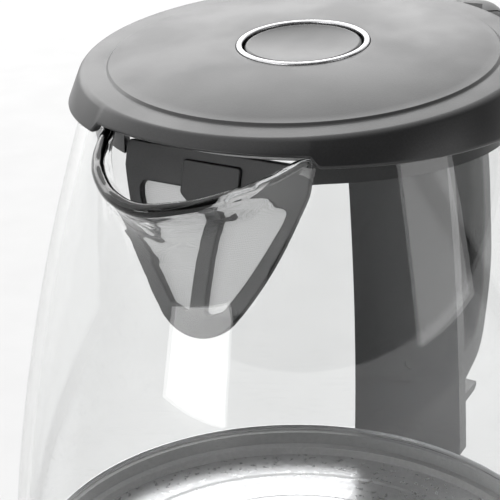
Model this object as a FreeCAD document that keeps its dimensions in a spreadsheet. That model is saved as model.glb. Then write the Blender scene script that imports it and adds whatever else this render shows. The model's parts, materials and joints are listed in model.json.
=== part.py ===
import FreeCAD
import Part
import Sketcher
import math
import os
import re

# Glass electric kettle on a round power base. Millimetres, +Z up. The origin is on the
# kettle's axis at the surface that the base's feet stand on. The spout points along -X
# and the handle along +X.

SIZES = {
    # glass body
    "lid_height": 206,
    "lid_tilt": 6.06,
    "rim_drop": 9.5,
    "rim_radius": 53.6,
    "shoulder_drop": 69.6,
    "shoulder_radius": 69.3,
    "foot_height": 54.5,
    "foot_radius": 79.6,
    "glass_wall": 3,
    "beak_reach": 25.5,
    "beak_half_width": 25.5,
    "beak_nose": 6,
    "beak_dip": 7,
    "beak_depth": 32,
    "beak_root": 3.5,
    "beak_back": 22,
    # lid
    "flange_lip": 1.2,
    "skirt_flare": 4.4,
    "skirt_drop": 11.3,
    "flange_width": 6.8,
    "panel_step": 0.6,
    "panel_rise": 1.9,
    "lid_wall": 2.2,
    "arch_drop": 9,
    "arch_angle": 29.5,
    "ring_outer": 16.3,
    "ring_band": 1.4,
    "ring_proud": 0.4,
    "button_gap": 0.6,
    "button_dish": 1,
    "plug_drop": 13,
    "plug_gap": 2,
    "bolt_width": 8,
    "bolt_thick": 3,
    "bolt_length": 17,
    # mouth collar and filter
    "collar_wall": 2.1,
    "collar_drop": 17,
    "collar_gap": 0.5,
    "filter_top_width": 46.6,
    "filter_height": 41.2,
    "filter_cheek": 4.7,
    "filter_rib": 4,
    "filter_tab_width": 15,
    "filter_tab_proud": 0.8,
    "mesh_margin": 1.6,
    "filter_lean": 13.6,
    "filter_wall": 2.2,
    "filter_bar": 4.5,
    "filter_top_bar": 7.5,
    "mesh_wall": 0.4,
    # handle and hinge
    "strip_wall": 4,
    "strip_gap": 0.3,
    "strip_top_width": 32,
    "strip_foot_width": 38,
    "hinge_reach": 64,
    "hinge_drop": 3,
    "pin_radius": 1.5,
    "pin_gap": 0.06,
    "bracket_width": 33,
    "slot_width": 24,
    "lug_width": 14,
    "lug_radius": 4.6,
    "handle_width": 30,
    "handle_wall": 2.5,
    "handle_reach": 126,
    "handle_grip": 21,
    "handle_foot_height": 75,
    "lens_radius": 2.2,
    "lens_side": 8.5,
    # kettle underside
    "collar_foot": 18.4,
    "plate_height": 51,
    "plate_wall": 0.8,
    "band_wall": 1.2,
    "housing_wall": 2.5,
    "element_radius": 50,
    "element_tube": 3.5,
    "spreader_radius": 60,
    "spreader_wall": 3,
    "control_radius": 28,
    "socket_radius": 17,
    "socket_bore": 9,
    "socket_top": 36,
    # power base
    "base_height": 18,
    "base_radius": 78,
    "base_wall": 2.5,
    "rubber_foot": 3,
    "rubber_radius": 7,
    "post_radius": 7.5,
    "post_top": 30,
    "contact_proud": 0.4,
    "gland_bore": 3.6,
    "gland_radius": 5.4,
    # fasteners and clearances
    "screw_radius": 1.5,
    "head_radius": 2.9,
    "head_thick": 1.6,
    "boss_radius": 4,
    "fit_gap": 0.1,
    "move_gap": 0.5,
}

# Places worked out from the sizes above; each is written once and used by name.
LINKS = {
    "rim_height": "lid_height - rim_drop",
    "shoulder_height": "lid_height - shoulder_drop",
    "flange_radius": "rim_radius + flange_lip",
    "skirt_radius": "rim_radius + skirt_flare",
    "skirt_height": "lid_height - skirt_drop",
    "panel_radius": "flange_radius - flange_width",
    "panel_top": "panel_step + panel_rise",
    "ring_inner": "ring_outer - ring_band",
    "button_radius": "ring_inner - button_gap",
    "mouth_radius": "rim_radius - glass_wall - collar_gap",
    "mouth_inner": "mouth_radius - collar_wall",
    "collar_height": "lid_height - collar_drop",
    "plug_radius": "mouth_inner - plug_gap",
    "plug_height": "lid_height - plug_drop",
    "bolt_height": "plug_height + lid_wall + 1.2",
    "bolt_tip": "mouth_inner - 0.4",
    "filter_head": "collar_height + 2",
    "filter_place": "-(mouth_inner - 5.1)",
    "hinge_height": "lid_height - hinge_drop",
    "bracket_face": "flange_radius + 2.7",
    "bracket_back": "hinge_reach + 15.5",
    "bracket_foot": "rim_height - 2.5",
    "handle_top": "lid_height - 1.6",
    "handle_inner": "handle_reach - handle_grip",
    "handle_foot": "handle_foot_height",
    "lever_place": "handle_reach - 34",
    "handle_bend": "handle_reach - 22",
    "handle_shoulder": "handle_top - 18",
    "handle_low": "lid_height - 96",
    "handle_heel": "handle_reach - 38",
    "lever_height": "handle_foot + 10",
    "band_radius": "foot_radius + 1.8 + band_wall",
    "housing_radius": "foot_radius + 1.6",
    "band_foot": "plate_height - 11",
    "cover_top": "rubber_foot + base_wall",
    "outlet_height": "(cover_top + base_height - base_wall) / 2",
    "under_cover_top": "collar_foot + housing_wall",
}


def bound(text):
    """The expression with every size and place name resolved to the sheet."""

    def resolve(match):
        name = match.group(0)
        if name in LINKS:
            return "(" + bound(LINKS[name]) + ")"
        if name in SIZES:
            return "sizes." + name
        return name

    return re.sub(r"[a-z][a-z_]+", resolve, text)


def value(text):
    """The present value of an expression, in millimetres or degrees."""
    return float(sheet.evalExpression(bound(text).replace("sizes.", "")))


def bind(item, **places):
    """Bind properties of an object to expressions; __ stands for a dot."""
    for name, text in places.items():
        item.setExpression(name.replace("__", "."), bound(text))


def place(item, at, axis=None, angle="0"):
    """Put an object at three expressions, turned by an angle about an axis."""
    if axis is not None:
        turn = FreeCAD.Rotation(FreeCAD.Vector(*axis), value(angle))
        item.Placement = FreeCAD.Placement(FreeCAD.Vector(), turn)
    bind(item, Placement__Base__x=at[0], Placement__Base__y=at[1], Placement__Base__z=at[2])
    return item


doc = FreeCAD.newDocument("electric_kettle")
sheet = doc.addObject("Spreadsheet::Sheet", "sizes")
for row, (word, number) in enumerate(SIZES.items(), start=1):
    sheet.set(f"A{row}", word)
    sheet.set(f"B{row}", str(number))
    sheet.setAlias(f"B{row}", word)
doc.recompute()

nodes = []


def node(item, name):
    """Name an object as one of the kettle's sub-parts."""
    item.Label = name
    nodes.append(item)
    return item


# ---------------------------------------------------------------- sketches and features


def origin_plane(body, role):
    return [item for item in body.Origin.OriginFeatures if item.Role == role][0]


def pin_point(sketch, geometry, end, point):
    """Bind one end of a sketch element to two expressions."""
    for kind, text in zip(("DistanceX", "DistanceY"), point):
        index = sketch.addConstraint(
            Sketcher.Constraint(kind, -1, 1, geometry, end, value(text)))
        sketch.setExpression(f"Constraints[{index}]", bound(text))


def outline(sketch, points, arcs):
    """A closed outline; arcs gives a through point for the side after a corner."""
    spots = [FreeCAD.Vector(value(across), value(up), 0) for across, up in points]
    sides = []
    for index, start in enumerate(spots):
        stop = spots[(index + 1) % len(spots)]
        if index in arcs:
            through = FreeCAD.Vector(value(arcs[index][0]), value(arcs[index][1]), 0)
            side = sketch.addGeometry(Part.Arc(start, through, stop), False)
            swapped = sketch.getPoint(side, 1).distanceToPoint(start) > 1e-4
            dot = sketch.addGeometry(Part.Point(through), True)
            sides.append((side, 2 if swapped else 1, 1 if swapped else 2, dot))
        else:
            side = sketch.addGeometry(Part.LineSegment(start, stop), False)
            sides.append((side, 1, 2, None))
    for index, (side, first, last, dot) in enumerate(sides):
        following = sides[(index + 1) % len(sides)]
        sketch.addConstraint(
            Sketcher.Constraint("Coincident", side, last, following[0], following[1]))
        pin_point(sketch, side, first, points[index])
        if dot is not None:
            pin_point(sketch, dot, 1, arcs[index])
            sketch.addConstraint(Sketcher.Constraint("PointOnObject", dot, 1, side))


def round_outline(sketch, centre, radius):
    """One circle bound by its centre and radius."""
    spot = FreeCAD.Vector(value(centre[0]), value(centre[1]), 0)
    up = FreeCAD.Vector(0, 0, 1)
    side = sketch.addGeometry(Part.Circle(spot, up, value(radius)), False)
    pin_point(sketch, side, 3, centre)
    index = sketch.addConstraint(Sketcher.Constraint("Radius", side, value(radius)))
    sketch.setExpression(f"Constraints[{index}]", bound(radius))


def body_sketch(body, name, role, points=(), arcs=None, circle=None, lift="0", tilt=None):
    """A sketch on one of the body's origin planes, lifted and tilted off it."""
    sketch = body.newObject("Sketcher::SketchObject", name)
    sketch.AttachmentSupport = [(origin_plane(body, role), "")]
    sketch.MapMode = "FlatFace"
    if tilt is not None:
        axis, angle, shift = tilt
        turn = FreeCAD.Rotation(FreeCAD.Vector(*axis), value(angle))
        sketch.AttachmentOffset = FreeCAD.Placement(FreeCAD.Vector(), turn)
        bind(sketch, AttachmentOffset__Base__y=shift)
    bind(sketch, AttachmentOffset__Base__z=lift)
    if circle is not None:
        round_outline(sketch, *circle)
    else:
        outline(sketch, points, arcs or {})
    return sketch


def new_body(name):
    return doc.addObject("PartDesign::Body", name)


def turn_feature(body, kind, name, sketch):
    """A Revolution or Groove about the sketch's upright axis."""
    feature = body.newObject(kind, name)
    feature.Profile = sketch
    feature.ReferenceAxis = (sketch, ["V_Axis"])
    feature.Angle = 360
    doc.recompute()
    return feature


def turned(name, points, arcs=None, tilt=None):
    """A body of revolution about Z from an outline of (radius, height)."""
    body = new_body(name)
    sketch = body_sketch(body, name + "_profile", "XZ_Plane", points, arcs, tilt=tilt)
    turn_feature(body, "PartDesign::Revolution", name + "_turn", sketch)
    return body


def ring(name, inner, outer, low, high, tilt=None):
    """A plain tube or, with an inner radius of 0, a disc."""
    corners = [(inner, low), (outer, low), (outer, high), (inner, high)]
    return turned(name, corners, tilt=tilt)


def extruded(name, role, points, length, arcs=None, lift="0", symmetric=True):
    """A body padded from an outline."""
    body = new_body(name)
    sketch = body_sketch(body, name + "_profile", role, points, arcs, lift=lift)
    pad = body.newObject("PartDesign::Pad", name + "_pad")
    pad.Profile = sketch
    pad.SideType = "Symmetric" if symmetric else "One side"
    bind(pad, Length=length)
    doc.recompute()
    return body


def pocketed(body, name, role, points, length, arcs=None, lift="0"):
    """Cut an outline through the body, evenly to both sides of the sketch."""
    before = body.Shape.Volume
    sketch = body_sketch(body, name + "_profile", role, points, arcs, lift=lift)
    pocket = body.newObject("PartDesign::Pocket", name)
    pocket.Profile = sketch
    pocket.SideType = "Symmetric"
    bind(pocket, Length=length)
    doc.recompute()
    if body.Shape.Volume >= before:
        raise ValueError(name + " cuts nothing")
    return pocket


def box(name, low, size):
    item = doc.addObject("Part::Box", name)
    bind(item, Length=size[0], Width=size[1], Height=size[2])
    return place(item, low)


def rod(name, at, radius, length, axis=None, angle="90"):
    """A cylinder from a point, along Z or turned about an axis."""
    item = doc.addObject("Part::Cylinder", name)
    bind(item, Radius=radius, Height=length)
    return place(item, at, axis, angle)


ALONG_X = (0, 1, 0)
ALONG_Y = (-1, 0, 0)


def cut(name, base, *tools):
    """The base less every tool; the volume must go down."""
    item = doc.addObject("Part::Cut", name)
    item.Base = base
    item.Tool = tools[0] if len(tools) == 1 else fuse(name + "_tools", *tools)
    doc.recompute()
    if item.Shape.Volume >= base.Shape.Volume:
        raise ValueError(name + " cuts nothing")
    return item


def fuse(name, *shapes):
    item = doc.addObject("Part::MultiFuse", name)
    item.Shapes = list(shapes)
    doc.recompute()
    return item


def group(name, shapes):
    """Identical separate solids that share one node."""
    item = doc.addObject("Part::Compound", name)
    item.Links = list(shapes)
    doc.recompute()
    return item


def around(count, radius, first="45"):
    """Evenly spaced places on a circle about Z, as pairs of expressions."""
    step = 360 / count
    angles = [f"({first} + {number * step})" for number in range(count)]
    return [(f"{radius} * cos({angle} * 1deg)", f"{radius} * sin({angle} * 1deg)")
            for angle in angles]


def screws(name, places, seat, length):
    """Round-headed screws that point up, each head below its seat height."""
    pieces = []
    for number, (across, along) in enumerate(places):
        head = rod(f"{name}_head_{number}", (across, along, f"{seat} - head_thick"),
                   "head_radius", "head_thick")
        shank = rod(f"{name}_shank_{number}", (across, along, seat), "screw_radius", length)
        pieces.append(fuse(f"{name}_{number}", head, shank))
    return node(group(name, pieces), name)


def screw_holes(name, places, low, length):
    return [rod(f"{name}_{number}", (across, along, low), "screw_radius + fit_gap", length)
            for number, (across, along) in enumerate(places)]


def coil(name, at, radius, wire, pitch, height, axis=None, angle="90"):
    """A round wire wound on a helix that starts at a point."""
    helix = doc.addObject("Part::Helix", name + "_path")
    bind(helix, Radius=radius, Pitch=pitch, Height=height)
    section = doc.addObject("Part::Circle", name + "_wire")
    bind(section, Radius=wire)
    place(section, (radius, "0", "0"), (1, 0, 0), "90")
    spring = doc.addObject("Part::Sweep", name)
    spring.Sections = [section]
    spring.Spine = (helix, [])
    spring.Solid = True
    spring.Frenet = True
    return node(place(spring, at, axis, angle), name)


def lead(name, route, radius, bend):
    """A round lead or tube along straight runs joined by tangent arcs."""
    spots = [FreeCAD.Vector(*[value(text) for text in spot]) for spot in route]
    edges = []
    start = spots[0]
    for before, corner, after in zip(spots, spots[1:], spots[2:]):
        way_in = (corner - before).normalize()
        way_out = (after - corner).normalize()
        turn = way_in.getAngle(way_out)
        if turn < 1e-6:
            continue
        trim = value(bend) * math.tan(turn / 2)
        arc_in = corner - way_in * trim
        arc_out = corner + way_out * trim
        inward = (way_out - way_in).normalize()
        reach = value(bend) / math.cos(turn / 2) - value(bend)
        edges.append(Part.LineSegment(start, arc_in).toShape())
        edges.append(Part.Arc(arc_in, corner + inward * reach, arc_out).toShape())
        start = arc_out
    edges.append(Part.LineSegment(start, spots[-1]).toShape())
    path = Part.Wire(edges)
    heading = (spots[1] - spots[0]).normalize()
    section = Part.Wire([Part.Circle(spots[0], heading, value(radius)).toShape()])
    tube = doc.addObject("Part::Feature", name)
    tube.Shape = path.makePipeShell([section], True, True)
    return tube


# Sketches turned so that their upright axis is the tilted axis of the lid.
LID_TILT = ((0, 0, 1), "lid_tilt", "lid_height")


# ---------------------------------------------------------------- power base


def power_base():
    screw_places = around(4, "(base_radius - 22)")
    foot_places = [("0", "0")] + around(5, "(base_radius - 14)", "0")

    plate = ring("base_bottom_plate", "0", "base_radius - base_wall - fit_gap",
                 "rubber_foot", "cover_top")
    holes = screw_holes("base_cover_hole", screw_places, "rubber_foot - 1", "10")
    seats = [rod(f"base_cover_seat_{number}", (across, along, "rubber_foot - 1"),
                 "head_radius + fit_gap", "head_thick + 1")
             for number, (across, along) in enumerate(screw_places)]
    node(cut("base_bottom_cover_cut", plate, *holes, *seats), "base_bottom_cover")

    shell = turned("base_shell_turned", [
        ("base_radius - base_wall", "rubber_foot"),
        ("base_radius", "rubber_foot"),
        ("base_radius", "base_height - 4"),
        ("base_radius - 4", "base_height"),
        ("socket_radius - 0.5", "base_height"),
        ("socket_radius - 0.5", "base_height - base_wall"),
        ("base_radius - base_wall - 2.5", "base_height - base_wall"),
        ("base_radius - base_wall", "base_height - base_wall - 2.5"),
    ], arcs={2: ("base_radius - 1.17", "base_height - 1.17")})
    bosses = [rod(f"base_boss_{number}", (across, along, "cover_top"), "boss_radius",
                  "base_height - base_wall - cover_top + 0.5")
              for number, (across, along) in enumerate(screw_places)]
    bores = screw_holes("base_boss_bore", screw_places, "rubber_foot", "base_height - 7")
    outlet = rod("base_outlet", ("base_radius - 8", "0", "outlet_height"),
                 "gland_radius - 1 + fit_gap", "12", ALONG_X)
    node(cut("base_top_shell_cut", fuse("base_shell_bossed", shell, *bosses), *bores, outlet),
         "base_top_shell")

    screws("base_screws", screw_places, "rubber_foot + head_thick", "base_height - 9")

    feet = [rod(f"base_foot_{number}", (across, along, "0"), "rubber_radius", "rubber_foot")
            for number, (across, along) in enumerate(foot_places)]
    node(group("base_feet", feet), "base_feet")

    node(turned("base_connector", [
        ("0", "cover_top"),
        ("socket_radius + 3", "cover_top"),
        ("socket_radius + 3", "cover_top + 2"),
        ("socket_radius - 1", "cover_top + 2"),
        ("socket_radius - 1", "base_height"),
        ("post_radius", "base_height"),
        ("post_radius", "post_top - 1"),
        ("post_radius - 1", "post_top"),
        ("0", "post_top"),
    ]), "base_connector")

    strips = [ring(f"base_contact_{number}", "post_radius", "post_radius + contact_proud",
                   f"base_height + {low}", f"base_height + {low} + 2")
              for number, low in enumerate((3, 7))]
    tip = rod("base_contact_tip", ("0", "0", "post_top"), "2", "1")
    node(group("base_contacts", strips + [tip]), "base_contacts")

    neck = rod("cord_gland_neck", ("base_radius - 6", "0", "outlet_height"),
               "gland_radius - 1", "9", ALONG_X)
    rim = rod("cord_gland_rim", ("base_radius + fit_gap", "0", "outlet_height"),
              "gland_radius", "2", ALONG_X)
    bore = rod("cord_gland_bore", ("base_radius - 7", "0", "outlet_height"), "gland_bore",
               "12", ALONG_X)
    node(cut("cord_gland_cut", fuse("cord_gland_solid", neck, rim), bore), "cord_gland")

    leads = []
    for number, side in enumerate((-1, 0, 1)):
        at_gland, at_post = f"{side} * 2.2", f"{side} * 9"
        leads.append(lead(f"base_lead_{number}", [
            ("base_radius - 8", at_gland, "outlet_height"),
            ("socket_radius + 22", at_gland, "outlet_height"),
            ("socket_radius + 12", at_post, "outlet_height"),
            ("socket_radius - 0.9", at_post, "outlet_height"),
        ], "1", "6"))
    node(group("base_leads", leads), "base_leads")


# ---------------------------------------------------------------- kettle underside


def socket():
    """The kettle's round socket, which drops over the base's post."""
    low = "base_height + move_gap"
    node(turned("kettle_socket", [
        ("socket_bore", low),
        ("socket_radius - 1", low),
        ("socket_radius", f"{low} + 1"),
        ("socket_radius", "socket_top"),
        ("0", "socket_top"),
        ("0", "socket_top - 3"),
        ("socket_bore", "socket_top - 3"),
    ]), "kettle_socket")
    strips = [ring(f"socket_contact_{number}", "socket_bore - 0.6", "socket_bore",
                   f"base_height + {height}", f"base_height + {height} + 1.6")
              for number, height in enumerate((3.2, 7.2))]
    node(group("socket_contacts", strips), "socket_contacts")


def underside():
    screw_places = around(3, "(foot_radius - 14)", "30")

    under = ring("under_plate", "socket_radius + move_gap",
                 "housing_radius - housing_wall - fit_gap", "collar_foot", "under_cover_top")
    holes = screw_holes("under_hole", screw_places, "collar_foot - 1", "10")
    seats = [rod(f"under_seat_{number}", (across, along, "collar_foot - 1"),
                 "head_radius + fit_gap", "head_thick + 1.1")
             for number, (across, along) in enumerate(screw_places)]
    node(cut("bottom_cover_cut", under, *holes, *seats), "bottom_cover")

    wall = turned("housing_turned", [
        ("housing_radius - housing_wall", "collar_foot"),
        ("band_radius - 1.5", "collar_foot"),
        ("band_radius", "collar_foot + 4"),
        ("band_radius", "band_foot - fit_gap"),
        ("housing_radius", "band_foot - fit_gap"),
        ("housing_radius", "plate_height"),
        ("housing_radius - housing_wall", "plate_height"),
    ])
    bosses = [rod(f"under_boss_{number}", (across, along, "under_cover_top"), "boss_radius",
                  "10") for number, (across, along) in enumerate(screw_places)]
    webs = []
    for number, (across, along) in enumerate(screw_places):
        angle = f"{30 + number * 120}"
        web = doc.addObject("Part::Box", f"under_web_{number}")
        bind(web, Length="housing_radius - housing_wall - foot_radius + 14.5", Width="2",
             Height="9")
        place(web, (f"{across} + sin({angle} * 1deg)", f"{along} - cos({angle} * 1deg)",
                    "under_cover_top + 0.5"), (0, 0, 1), angle)
        webs.append(web)
    bores = screw_holes("under_bore", screw_places, "under_cover_top - 1", "9")
    node(cut("bottom_housing_cut", fuse("housing_bossed", wall, *bosses, *webs), *bores),
         "bottom_housing")
    screws("bottom_screws", screw_places, "collar_foot + head_thick", "8")

    node(turned("steel_band", [
        ("housing_radius + fit_gap", "band_foot"),
        ("band_radius", "band_foot"),
        ("band_radius", "foot_height + 5"),
        ("band_radius - 1", "foot_height + 6"),
        ("housing_radius + fit_gap", "foot_height + 6"),
    ]), "steel_band")

    node(ring("heating_plate", "0", "housing_radius", "plate_height",
              "plate_height + plate_wall"), "heating_plate")
    seal_low = "plate_height + plate_wall"
    node(turned("glass_seal", [
        ("foot_radius - glass_wall - 1", seal_low),
        ("housing_radius", seal_low),
        ("housing_radius", "foot_height + 4"),
        ("foot_radius + fit_gap", "foot_height + 4"),
        ("foot_radius + fit_gap", "foot_height"),
        ("foot_radius - glass_wall - 1", "foot_height"),
    ]), "glass_seal")

    spreader_low = "plate_height - spreader_wall"
    node(ring("heat_spreader", "0", "spreader_radius", spreader_low, "plate_height"),
         "heat_spreader")
    tube = doc.addObject("Part::Torus", "element_loop")
    bind(tube, Radius1="element_radius", Radius2="element_tube", Angle3="320")
    place(tube, ("0", "0", "plate_height - spreader_wall - element_tube - 0.02"))
    tail_angles = ("0", "320")
    tails = []
    tabs = []
    for number, angle in enumerate(tail_angles):
        across = f"element_radius * cos({angle} * 1deg)"
        along = f"element_radius * sin({angle} * 1deg)"
        tail_low = "plate_height - spreader_wall - 14"
        tails.append(rod(f"element_tail_{number}", (across, along, tail_low), "element_tube",
                         "14 - element_tube"))
        tabs.append(rod(f"element_tab_{number}", (across, along, f"{tail_low} - 5"), "1.6", "5"))
    node(fuse("heating_element", tube, *tails), "heating_element")
    node(group("element_terminals", tabs), "element_terminals")

    control_places = around(3, "(control_radius - 4)", "90")
    control_low = "socket_top + move_gap + head_thick"
    block = ring("control_block", "0", "control_radius", control_low,
                 "plate_height - spreader_wall - 3.5")
    holes = screw_holes("control_hole", control_places, "socket_top", "20")
    node(cut("control_unit_cut", block, *holes), "control_unit")
    screws("control_screws", control_places, control_low,
           f"plate_height - spreader_wall - ({control_low}) - 0.05")
    discs = [rod(f"bimetal_{number}", (f"{side} * 11", "0",
             "plate_height - spreader_wall - 1"), "6.5", "0.6")
             for number, side in enumerate((-1, 1))]
    node(group("bimetal_discs", discs), "bimetal_discs")


# ---------------------------------------------------------------- glass body


def wall_outline(offset, low, high):
    """Half section of the bowed body, offset from the glass's outer wall."""
    points = [
        ("0", low),
        (f"foot_radius + {offset}", low),
        (f"rim_radius + {offset}", high),
        ("0", high),
    ]
    return points, {1: (f"shoulder_radius + {offset}", "shoulder_height")}


def beak_outline(inset, share):
    """Level section of the pouring beak: a V with a round nose, shrinking with depth."""
    half = f"(beak_half_width - {inset}) * {share}"
    nose = f"-(rim_radius + (beak_reach - {inset} * 1.3) * {share})"
    back = "-(rim_radius - beak_back)"
    side = "-(rim_radius - beak_root)"
    knuckle = f"beak_nose * {share} * 0.85"
    return [
        (back, f"-({half})"),
        (side, f"-({half})"),
        (f"{nose} + beak_nose * 0.7", f"-({knuckle})"),
        (f"{nose} + beak_nose * 0.7", knuckle),
        (side, half),
        (back, half),
    ], {2: (nose, "0")}


def beak(body, name, kind, inset):
    """Loft the beak through three level sections, from above the rim to its root."""
    levels = (("rim_height + 2", "1.12"), ("rim_height - beak_dip - 3", "0.74"),
              ("rim_height - beak_depth", "0.14"))
    sketches = []
    for number, (height, share) in enumerate(levels):
        points, arcs = beak_outline(inset, share)
        sketches.append(body_sketch(body, f"{name}_{number}", "XY_Plane", points, arcs,
                                    lift=height))
    before = body.Shape.Volume
    loft = body.newObject(kind, name)
    loft.Profile = sketches[0]
    loft.Sections = sketches[1:]
    loft.Ruled = False
    doc.recompute()
    if abs(body.Shape.Volume - before) < 1:
        raise ValueError(name + " changes nothing")


def glass():
    body = new_body("glass_body")
    points, arcs = wall_outline("0", "foot_height", "rim_height")
    sketch = body_sketch(body, "glass_outer", "XZ_Plane", points, arcs)
    turn_feature(body, "PartDesign::Revolution", "glass_turn", sketch)
    beak(body, "beak_outer", "PartDesign::AdditiveLoft", "0")
    points, arcs = wall_outline("(0 - glass_wall)", "foot_height", "rim_height")
    sketch = body_sketch(body, "glass_inner", "XZ_Plane", points, arcs)
    before = body.Shape.Volume
    turn_feature(body, "PartDesign::Groove", "glass_hollow", sketch)
    if body.Shape.Volume >= before:
        raise ValueError("the glass is not hollow")
    beak(body, "beak_inner", "PartDesign::SubtractiveLoft", "glass_wall")
    far = "-(rim_radius + beak_reach * 2)"
    pocketed(body, "rim_trim", "XZ_Plane", [
        (far, "rim_height + 20"),
        (far, "rim_height - beak_dip * 2"),
        ("-(rim_radius - 3)", "rim_height"),
        ("rim_radius * 2", "rim_height"),
        ("rim_radius * 2", "rim_height + 20"),
    ], "foot_radius * 3")
    node(body, "glass_body")


def mouth_collar():
    """The dark collar in the glass mouth, open at the spout for the filter."""
    collar = turned("collar_turned", [
        ("mouth_inner", "collar_height"),
        ("mouth_radius", "collar_height"),
        ("mouth_radius", "rim_height + 0.05"),
        ("rim_radius - 1", "rim_height + 0.05"),
        ("rim_radius - 1", "rim_height + 1"),
        ("mouth_inner", "rim_height + 1"),
    ])
    width = "filter_top_width + 1"
    opening = box("collar_opening", ("-(rim_radius * 2)", f"-({width}) / 2",
                                     "collar_height - 1"),
                  ("rim_radius * 2", width, "collar_drop"))
    node(cut("mouth_collar_cut", collar, opening), "mouth_collar")


def filter_points(inset):
    """Shield outline in the filter's own plane, down from its head."""
    half = f"(filter_top_width / 2 - {inset})"
    waist = f"(filter_height - {inset})"
    return [
        (f"-{half}", f"-{inset}"),
        (half, f"-{inset}"),
        (half, "-filter_cheek"),
        (f"{half} * 0.39", f"-{waist} * 0.89"),
        (f"-{half} * 0.39", f"-{waist} * 0.89"),
        (f"-{half}", "-filter_cheek"),
    ], {2: (f"{half} * 0.75", f"-{waist} * 0.53"), 3: ("0", f"-{waist}"),
        4: (f"-{half} * 0.75", f"-{waist} * 0.53")}


def spout_filter():
    """Shield-shaped frame with a centre rib and finger tab, and its fine mesh."""
    points, arcs = filter_points("0")
    frame = extruded("filter_frame", "YZ_Plane", points, "filter_wall", arcs)
    half = "(filter_top_width / 2 - filter_bar)"
    low = "(filter_height - filter_bar - 1)"
    for name, side in (("filter_window_left", "-1"), ("filter_window_right", "1")):
        pocketed(frame, name, "YZ_Plane", [
            (f"{side} * filter_rib / 2", "-filter_top_bar"),
            (f"{side} * {half}", "-filter_top_bar"),
            (f"{side} * {half} * 0.37", f"-{low} * 0.93"),
            (f"{side} * filter_rib / 2", f"-{low}"),
        ], "filter_wall * 3", {1: (f"{side} * {half} * 0.76", f"-{low} * 0.57")})
    tab_half = "filter_tab_width / 2"
    tab_points = [
        (f"-{tab_half}", "-1"),
        (tab_half, "-1"),
        (tab_half, "-(filter_top_bar + 1)"),
        (f"{tab_half} - 2", "-(filter_top_bar + 3)"),
        (f"-({tab_half} - 2)", "-(filter_top_bar + 3)"),
        (f"-{tab_half}", "-(filter_top_bar + 1)"),
    ]
    tab = body_sketch(frame, "filter_tab_profile", "YZ_Plane", tab_points,
                      lift="-filter_wall / 2 - filter_tab_proud")
    pad = frame.newObject("PartDesign::Pad", "filter_tab")
    pad.Profile = tab
    bind(pad, Length="filter_wall + filter_tab_proud")
    points, arcs = filter_points("mesh_margin")
    mesh = extruded("filter_mesh", "YZ_Plane", points, "mesh_wall", arcs,
                    lift="filter_wall / 2 + mesh_wall / 2")
    for item in (frame, mesh):
        place(item, ("filter_place", "0", "filter_head"), (0, 1, 0), "filter_lean")
        node(item, item.Name)


# ---------------------------------------------------------------- lid


def tilted_circle(body, name, drop, radius):
    """A circle in a plane that tilts with the lid, a drop below the lid's face."""
    sketch = body.newObject("Sketcher::SketchObject", name)
    sketch.AttachmentSupport = [(origin_plane(body, "XY_Plane"), "")]
    sketch.MapMode = "FlatFace"
    turn = FreeCAD.Rotation(FreeCAD.Vector(0, 1, 0), -value("lid_tilt"))
    sketch.AttachmentOffset = FreeCAD.Placement(FreeCAD.Vector(), turn)
    bind(sketch, AttachmentOffset__Base__z=f"lid_height - {drop}")
    round_outline(sketch, ("0", "0"), radius)
    return sketch


def level_circle(body, name, height, radius):
    return body_sketch(body, name, "XY_Plane", circle=(("0", "0"), radius), lift=height)


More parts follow.
